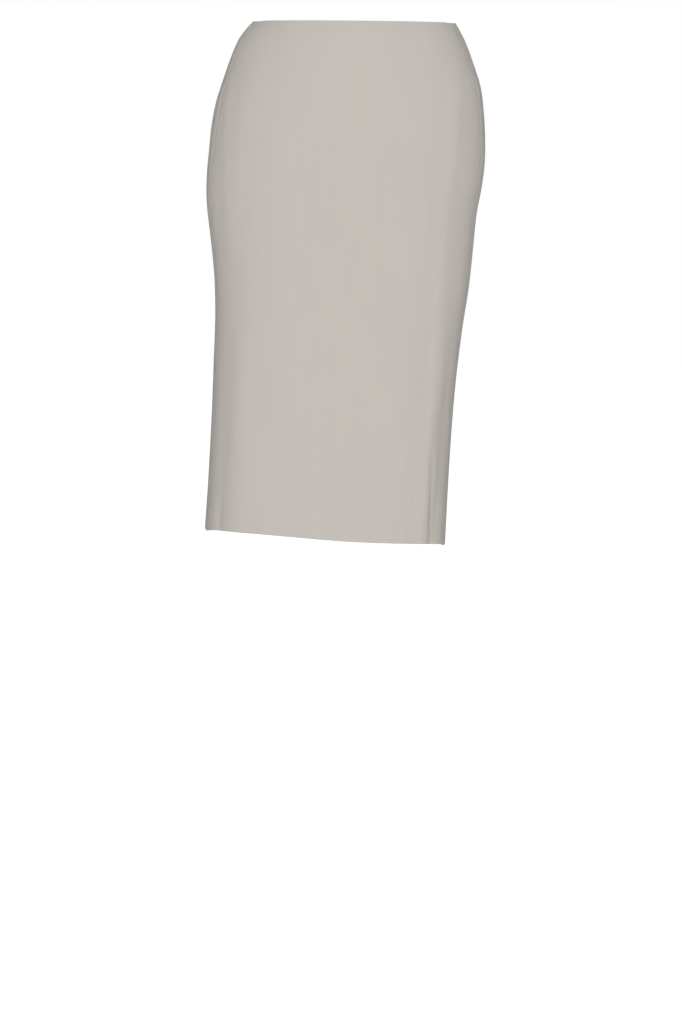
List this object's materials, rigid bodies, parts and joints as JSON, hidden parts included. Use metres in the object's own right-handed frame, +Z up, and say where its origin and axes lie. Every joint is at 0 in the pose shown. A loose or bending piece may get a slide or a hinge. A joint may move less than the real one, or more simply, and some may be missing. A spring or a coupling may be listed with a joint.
{
  "type": "pencil skirt",
  "caption": "Hollow knee-length pencil skirt as worn, in three panels, with a clean waist edge, a concealed back zip, back darts and a lapped back vent.",
  "frame": {"origin": "middle of the waist opening, level with its edge at the sides", "axes": "+Z up out of the waist, -Y towards the skirt's front, +X towards the garment's left when it is worn"},
  "size_m": [0.3409, 0.2506, 0.6368],
  "materials": {
    "cloth": "matte, smooth woven suiting",
    "zip_tape": "matte woven tape",
    "zip_metal": "satin lacquer in the cloth's grey"
  },
  "bodies": {
    "skirt": {"front_panel": "cloth", "back_left_panel": "cloth", "back_right_panel": "cloth", "zip_tape_left": "zip_tape", "zip_tape_right": "zip_tape", "zip_slider": "zip_metal"},
    "pull": {"zip_pull": "zip_metal"}
  },
  "joints": [
    {"name": "pull_swing", "type": "hinge", "parent": "skirt", "child": "pull", "pos_m": [-0.00036, 0.09611, -0.00725], "axis": [1, 0, 0], "range_deg": [0, 165]}
  ]
}
